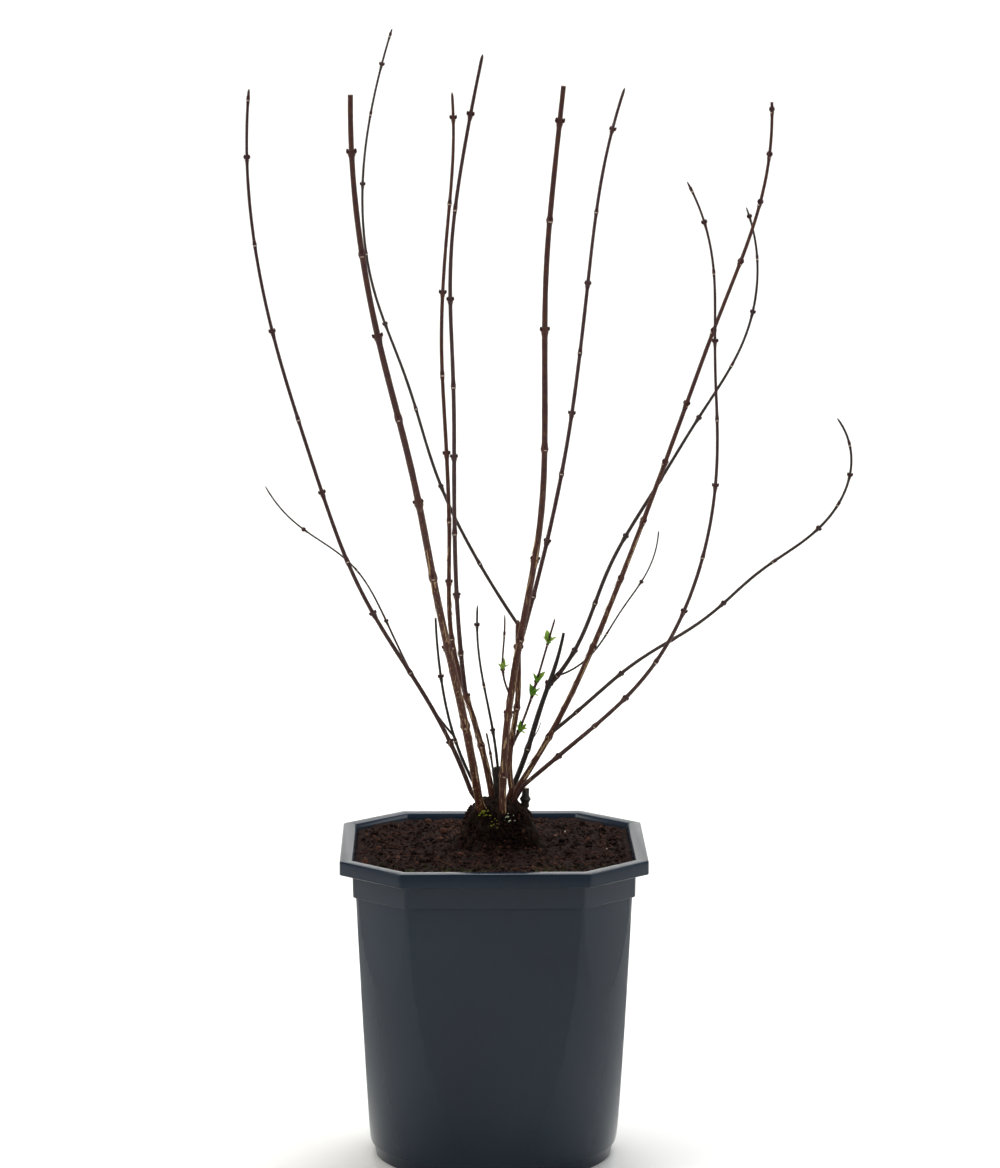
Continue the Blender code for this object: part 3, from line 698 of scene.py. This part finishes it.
def crumb_places(dice):
    """Where crumbs lie and how large they are: over the fill, then heaped against the stool."""
    places = []
    for crumb in range(CRUMBS):
        x, y = dice.uniform(-CRUMB_HALF, CRUMB_HALF), dice.uniform(-CRUMB_HALF, CRUMB_HALF)
        if abs(x) + abs(y) > CRUMB_CORNER:
            continue
        size = dice.uniform(*CRUMB_SIZE) * (1 if dice.random() < 1 - CLOD_SHARE else CLOD_GROWTH)
        places.append((Vector((x, y, peat_height(x, y) + size * 0.2)), size))
    for crumb in range(STOOL_CRUMBS):
        height = STOOL_CRUMB_TOP * dice.random() ** 1.6  # fewer towards the stool's top
        places.append((stool_surface(dice.uniform(0, 2 * pi), height), dice.uniform(*STOOL_CRUMB_SIZE)))
    return places


def tuft_places(dice):
    """Where the specks of each tuft of moss or lichen are, their sizes and their finishes."""
    places = []
    for middle, count, look in TUFTS:
        for speck in range(count):
            offset = Vector((dice.gauss(0, 2.2), dice.gauss(0, 1), dice.gauss(0, 2)))
            places.append((Vector(middle) + offset, dice.uniform(0.4, 1.0), look))
    return places


def make_crumbs(looks, dice):
    """Loose crumbs of peat, a few of them rusty or pale, with the specks of moss and lichen."""
    spread = crumb_places(dice)
    tufts = tuft_places(dice)
    bm = bmesh.new()
    for first in range(0, len(spread), CRUMB_BATCH):
        batch = bmesh.new()
        for spot, size in spread[first:first + CRUMB_BATCH]:
            turn = Matrix.Rotation(dice.uniform(0, 6), 4, (dice.uniform(-1, 1), dice.uniform(-1, 1), 1))
            shape = Matrix.Diagonal((size, size * dice.uniform(0.5, 1), size * dice.uniform(0.4, 0.9), 1))
            place = Matrix.Translation(spot) @ turn @ shape
            points = bmesh.ops.create_icosphere(batch, subdivisions=1, radius=1, matrix=place)["verts"]
            look = PEAT
            if dice.random() < GRAIN_SHARE:
                look = GRAIN
            elif dice.random() < RUSTY_SHARE:
                look = FIBRE
            paint(points, look)
        working = bpy.data.meshes.new("batch")
        batch.to_mesh(working)
        batch.free()
        bm.from_mesh(working)
        bpy.data.meshes.remove(working)
    for spot, size, look in tufts:
        place = Matrix.Translation(spot) @ Matrix.Diagonal((size, size, size * 0.7, 1))
        paint(bmesh.ops.create_icosphere(bm, subdivisions=1, radius=1, matrix=place)["verts"], look)
    finishes = [looks[key] for key in ("peat", "grain", "fibre", "moss", "lichen")]
    finish_mesh("peat_crumbs", bm, finishes, angle=30)


def make_fibres(look, dice):
    """Curled fibres that lie on the fill, each arched a little off it."""
    bm = bmesh.new()
    for strand in range(FIBRES):
        x, y = dice.uniform(-FIBRE_HALF, FIBRE_HALF), dice.uniform(-FIBRE_HALF, FIBRE_HALF)
        if abs(x) + abs(y) > FIBRE_CORNER:
            continue
        length, heading = dice.uniform(*FIBRE_LENGTH), dice.uniform(0, 2 * pi)
        curl, thick = dice.uniform(-FIBRE_CURL, FIBRE_CURL), dice.uniform(*FIBRE_RADIUS)
        ring = None
        for step in range(FIBRE_RINGS):
            share = step / (FIBRE_RINGS - 1)
            angle = heading + curl * share
            x += cos(angle) * length / FIBRE_RINGS
            y += sin(angle) * length / FIBRE_RINGS
            if max(abs(x), abs(y)) > FIBRE_END_HALF or abs(x) + abs(y) > FIBRE_END_CORNER:
                break
            lift = peat_height(x, y) + thick + sin(pi * share) * FIBRE_ARCH
            place = (Matrix.Translation((x, y, lift)) @ Matrix.Rotation(angle, 4, "Z")
                     @ Matrix.Rotation(pi / 2, 4, "Y") @ Matrix.Diagonal((thick, thick, 1, 1)))
            if ring is None:
                made = bmesh.ops.create_circle(bm, cap_ends=True, segments=4, radius=1, matrix=place)
                ring = list({edge for point in made["verts"] for edge in point.link_edges})
            else:
                ring, found = extrude_ring(bm, ring)
                bmesh.ops.transform(bm, matrix=place @ before.inverted(), verts=found)
            before = place
        bmesh.ops.contextual_create(bm, geom=ring)
    finish_mesh("peat_fibres", bm, [look])


# The pot

def solid(bm):
    """A working solid in millimetres, not shown."""
    bmesh.ops.recalc_face_normals(bm, faces=bm.faces)
    mesh = bpy.data.meshes.new("working")
    bm.to_mesh(mesh)
    bm.free()
    made = bpy.data.objects.new("working", mesh)
    bpy.context.scene.collection.objects.link(made)
    return made


def octagon_ring(points, half, height):
    """Place a ring of points on the octagon of a half width, its corners rounded."""
    cut = RIM_CORNER - (2 - sqrt(2)) * (RIM_HALF - half)
    around = CORNER_ARC + 1
    for index, point in enumerate(points):
        corner, step = divmod(index, around)
        turn = corner * pi / 4  # this corner lies after the side that faces this way
        facing = turn + pi / 4 * step / CORNER_ARC
        side = half if corner % 2 == 0 else sqrt(2) * (half - cut / 2)
        following = half if corner % 2 else sqrt(2) * (half - cut / 2)
        # where the two sides, each taken in by the corner's radius, meet
        reach, onward = side - CORNER_RADIUS, following - CORNER_RADIUS
        slide = (onward - reach * cos(pi / 4)) / sin(pi / 4)
        x = reach * cos(turn) - slide * sin(turn) + CORNER_RADIUS * cos(facing)
        y = reach * sin(turn) + slide * cos(turn) + CORNER_RADIUS * sin(facing)
        point.co = Vector((x, y, height))


def octagon_stack(levels):
    """A closed solid through rounded octagons, each given by its half width and height."""
    bm = bmesh.new()
    start = bmesh.ops.create_circle(bm, cap_ends=True, segments=8 * (CORNER_ARC + 1), radius=1)["verts"]
    points = sorted(start, key=lambda point: atan2(point.co.y, point.co.x) % (2 * pi))
    ring = list(bm.edges)
    octagon_ring(points, *levels[0])
    for half, height in levels[1:]:
        ring, fresh = extrude_ring(bm, ring)
        # the new points, in the order of those under them
        points = [next(edge.other_vert(point) for edge in point.link_edges
                       if edge.other_vert(point) in fresh) for point in points]
        octagon_ring(points, half, height)
    bmesh.ops.contextual_create(bm, geom=ring)
    return solid(bm)


def turned(profile):
    """A closed solid turned round the upright axis; the profile starts and ends on it."""
    bm = bmesh.new()
    points = [bm.verts.new((radius, 0, height)) for radius, height in profile]
    edges = [bm.edges.new(pair) for pair in zip(points, points[1:])]
    bmesh.ops.spin(bm, geom=points + edges, cent=(0, 0, 0), axis=(0, 0, 1), angle=2 * pi,
                   steps=TURNED_SIDES, use_merge=True)
    bmesh.ops.remove_doubles(bm, verts=bm.verts, dist=0.001)
    return solid(bm)


def combine(target, operation, tool):
    """Cut or intersect a working solid with another, which is used up."""
    boolean = target.modifiers.new("cut", "BOOLEAN")
    boolean.operation = operation
    boolean.object = tool
    graph = bpy.context.evaluated_depsgraph_get()
    made = bpy.data.meshes.new_from_object(target.evaluated_get(graph))
    target.modifiers.clear()
    target.data = made
    bpy.data.objects.remove(tool)


def barrel_radius(height):
    """Radius of the round form at a height: it narrows faster towards the foot."""
    down = (COLLAR_FOOT - height) / (COLLAR_FOOT - FOOT_HEIGHT)
    return BARREL_TOP - BARREL_DROP * down - BARREL_SAG * down * down


def barrel_wall(inset, top):
    """Outline of the round form: clear of the pot above a height, then its side down to the foot."""
    clear = RIM_HALF * 2
    wall = [(0, POT_HEIGHT + 20), (clear, POT_HEIGHT + 20), (clear, top)]
    for step in range(BARREL_RINGS + 1):
        height = top + (FOOT_HEIGHT - top) * step / BARREL_RINGS
        wall.append((barrel_radius(height) - inset, height))
    return wall


def rounded(half, height, radius, steps):
    """Levels round an upper edge, from the flat above it to the side below."""
    levels = []
    for step in range(steps + 1):
        turn = pi / 2 * step / steps
        levels.append((half + radius * sin(turn) - radius, height - radius + radius * cos(turn)))
    return levels


def pot_outside():
    """The pot's outer form: octagonal above, cut round towards the foot, with every edge eased."""
    skirt = POT_HEIGHT - RIM_DEPTH
    under_rim = POT_HEIGHT - RIM_SKIN
    collar_low = COLLAR_HALF - COLLAR_DRAFT
    levels = rounded(RIM_HALF, POT_HEIGHT, RIM_ROUND, 4)
    levels += [(RIM_HALF, skirt + 0.4), (RIM_HALF - 0.4, skirt), (RIM_HALF - RIM_SKIN, skirt),
               (RIM_HALF - RIM_SKIN, under_rim), (COLLAR_HALF, under_rim),
               (collar_low, COLLAR_FOOT + 1.2), (collar_low - 0.3, COLLAR_FOOT + 0.4),
               (collar_low - 1.2, COLLAR_FOOT), (BODY_HALF + 0.6, COLLAR_FOOT - 0.1),
               (BODY_HALF, COLLAR_FOOT - 0.8), (BODY_HALF_LOW - BODY_DRAFT * (FOOT_HEIGHT + 10), -10)]
    pot = octagon_stack(levels)
    foot = [(FOOT_RADIUS + 0.4, FOOT_HEIGHT - 0.5), (FOOT_RADIUS, FOOT_HEIGHT - 1.4),
            (FOOT_RADIUS_LOW, 1.5), (FOOT_RADIUS_LOW - 0.4, 0.5), (FOOT_RADIUS_LOW - 1.5, 0), (0, 0)]
    combine(pot, "INTERSECT", turned(barrel_wall(0, COLLAR_FOOT) + foot))
    return pot


def pot_hollow():
    """The space inside the wall, down to the raised floor and its pad."""
    inner_edge = RIM_HALF - RIM_FACE
    levels = [(inner_edge, POT_HEIGHT + 10), (inner_edge, POT_HEIGHT), (inner_edge - 0.9, POT_HEIGHT - 0.3),
              (inner_edge - 1.8, POT_HEIGHT - 1.2), (COLLAR_HALF - WALL, POT_HEIGHT - 4),
              (COLLAR_HALF - WALL, COLLAR_FOOT + 3), (BODY_HALF - WALL, COLLAR_FOOT - 3),
              (BODY_HALF_LOW - WALL - BODY_DRAFT * FOOT_HEIGHT, 0)]
    floor_top = FLOOR_RISE + WALL
    floor = [(barrel_radius(floor_top) - WALL - 3, floor_top), (PAD_RADIUS + PAD_SLOPE, floor_top),
             (PAD_RADIUS, WALL), (0, WALL)]
    wall = [point for point in barrel_wall(WALL, COLLAR_FOOT - WALL) if point[1] > floor_top + 3]
    hollow = octagon_stack(levels)
    combine(hollow, "INTERSECT", turned(wall + floor))
    return hollow


def floor_trench():
    """The ring under the raised floor, open to the ground."""
    return turned([(0, -20), (TRENCH_OUTER, -20), (TRENCH_OUTER - 2, FLOOR_RISE),
                   (PAD_RADIUS + PAD_SLOPE + WALL, FLOOR_RISE), (PAD_RADIUS + WALL, 0),
                   (PAD_RADIUS + WALL, -5), (0, -5)])


def drains():
    """The notches through the foot and the holes in the floor."""
    bm = bmesh.new()
    for side in range(4):
        place = Matrix.Rotation(side * pi / 2, 4, "Z") @ Matrix.Translation((FOOT_RADIUS_LOW, 0, 0))
        shape = Matrix.Diagonal((NOTCH_DEPTH, NOTCH_WIDTH, 2 * NOTCH_HEIGHT, 1))
        bmesh.ops.create_cube(bm, size=1, matrix=place @ shape)
    for hole in range(DRAIN_HOLES):
        angle = (hole + 0.5) * 2 * pi / DRAIN_HOLES
        place = Matrix.Translation((DRAIN_CIRCLE * cos(angle), DRAIN_CIRCLE * sin(angle), FLOOR_RISE))
        bmesh.ops.create_cone(bm, cap_ends=True, segments=DRAIN_SIDES, radius1=DRAIN_RADIUS,
                              radius2=DRAIN_RADIUS, depth=12, matrix=place)
    return solid(bm)


def make_pot(look):
    """The pot in its own fine mesh: rounded edges, smooth round foot, true wall."""
    pot = pot_outside()
    for cutter in (pot_hollow(), floor_trench(), drains()):
        combine(pot, "DIFFERENCE", cutter)
    bm = bmesh.new()
    bm.from_mesh(pot.data)
    bpy.data.objects.remove(pot)
    bmesh.ops.dissolve_limit(bm, angle_limit=radians(0.2), verts=bm.verts, edges=bm.edges)
    piece = finish_mesh("pot_moulding", bm, [look], angle=32)
    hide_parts("pot")


# Floor, lights and camera

def make_floor():
    """A pale floor that sweeps up into a wall."""
    bm = bmesh.new()
    start = [bm.verts.new((x, FLOOR_NEAR, 0)) for x in (-FLOOR_SIDE, FLOOR_SIDE)]
    edge = [bm.edges.new(start)]
    path = [(FLOOR_FAR, 0.0)]
    for step in range(1, FLOOR_STEPS + 1):
        turn = pi / 2 * step / FLOOR_STEPS
        path.append((FLOOR_FAR + FLOOR_BEND * sin(turn), FLOOR_BEND * (1 - cos(turn))))
    path.append((FLOOR_FAR + FLOOR_BEND, WALL_TOP))
    for y, z in path:
        edge, points = extrude_ring(bm, edge)
        for point in points:
            point.co.y, point.co.z = y, z
    bmesh.ops.recalc_face_normals(bm, faces=bm.faces)
    mesh = bpy.data.meshes.new("floor")
    bm.to_mesh(mesh)
    bm.free()
    if mesh.polygons[0].normal.z < 0:
        mesh.flip_normals()
    mesh.shade_smooth()
    look, _, shader = new_material("pale_painted_floor", 0.9)
    shader.inputs["Base Color"].default_value = hex_colour("E9E8E4")
    mesh.materials.append(look)
    floor = bpy.data.objects.new("floor", mesh)
    bpy.context.scene.collection.objects.link(floor)


def make_lights():
    """Soft light from both sides and the back, one light on the wall, and a pale even room."""
    for name, place, size, power, colour, aim in LIGHTS:
        light = bpy.data.lights.new(name, "AREA")
        light.size = size
        light.energy = power
        light.color = colour
        lamp = bpy.data.objects.new(name, light)
        lamp.location = place
        lamp.rotation_euler = (Vector(aim) - lamp.location).to_track_quat("-Z", "Y").to_euler()
        bpy.context.scene.collection.objects.link(lamp)
    world = bpy.data.worlds.new("soft_room")
    world.use_nodes = True
    world.node_tree.nodes["Background"].inputs["Color"].default_value = hex_colour("F1F3F6")
    world.node_tree.nodes["Background"].inputs["Strength"].default_value = ROOM_LIGHT
    bpy.context.scene.world = world


def make_camera():
    """A long lens from a little above the rim."""
    lens = bpy.data.cameras.new("camera")
    lens.lens = CAMERA_LENS
    lens.clip_end = 60
    camera = bpy.data.objects.new("camera", lens)
    camera.location = CAMERA_PLACE
    camera.rotation_euler = (radians(90 - CAMERA_PITCH), 0, radians(CAMERA_YAW))
    bpy.context.scene.collection.objects.link(camera)
    bpy.context.scene.camera = camera
    bpy.context.scene.view_settings.view_transform = "Standard"


def make_looks():
    """The finishes of the plant and the fill."""
    return {
        # bark of the oldest canes: satin red-brown, split low down in straw-coloured strips
        "old": bark("mock_orange_bark_mature", "3A1B1D", "4C2819", "B09068", 0.59),
        # smooth bark of last year's canes: darker and more purple, with a few strips
        "young": bark("mock_orange_bark_young", "33171D", "3A1E1A", "8A6A50", 0.62),
        # thin twigs, nearly black against the light
        "whip": bark("mock_orange_bark_thin", "221718", "33221D", "6A5546", 0.64),
        # dead stems, grey-brown and dull
        "grey": bark("mock_orange_bark_dead", "171312", "271F1B", "5A4E44", 0.64),
        # pith and wood at a pruning cut: pale, dry and matt
        "pith": plain_fleck("mock_orange_cut_end", "B9A078", "8E7450", 0.8),
        # bud scales: dark red-brown with a faint sheen
        "bud": plain_fleck("mock_orange_bud_scales", "2A1517", "4A2422", 0.5),
        # corky leaf scars: pale dots at each node
        "scar": plain_fleck("mock_orange_leaf_scar", "CFC0AC", "A08C78", 0.7),
        # dry papery bark that has come away
        "straw": plain_fleck("mock_orange_peeling_bark", "B79A76", "8C6A4A", 0.75),
        # young leaves: fresh green with a soft sheen, the newest of them yellow-green
        "leaf": plain_fleck("mock_orange_leaf_young", "4C7F1C", "638F24", 0.42, 400),
        "pale_leaf": plain_fleck("mock_orange_leaf_new", "7C9C34", "8FA846", 0.42, 400),
        "peat": peat_fibre(),
        # single fibres of peat: rusty brown and matt
        "fibre": plain_fleck("moss_peat_fibre", "2E1A13", "4E2E20", 0.85),
        # a cushion of moss: olive to yellow-green
        "moss": plain_fleck("cushion_moss", "5E6A1E", "8A8A30", 0.8),
        # crust lichen: chalky grey-green
        "lichen": plain_fleck("crust_lichen", "9FAE86", "C4CDB0", 0.8),
        # expanded mineral grains in the peat: off-white specks
        "grain": plain_fleck("perlite_grain", "B9B2A4", "8A8276", 0.8),
    }


def main():
    looks = make_looks()
    make_pot(slate_plastic())
    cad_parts["peat"].material_slots[0].material = looks["peat"]
    make_canes(looks)
    make_stool(old_wood())
    make_peat_face(looks["peat"])
    dice = random.Random(21)
    make_crumbs(looks, dice)
    make_fibres(looks["fibre"], dice)
    make_floor()
    make_lights()
    make_camera()


main()
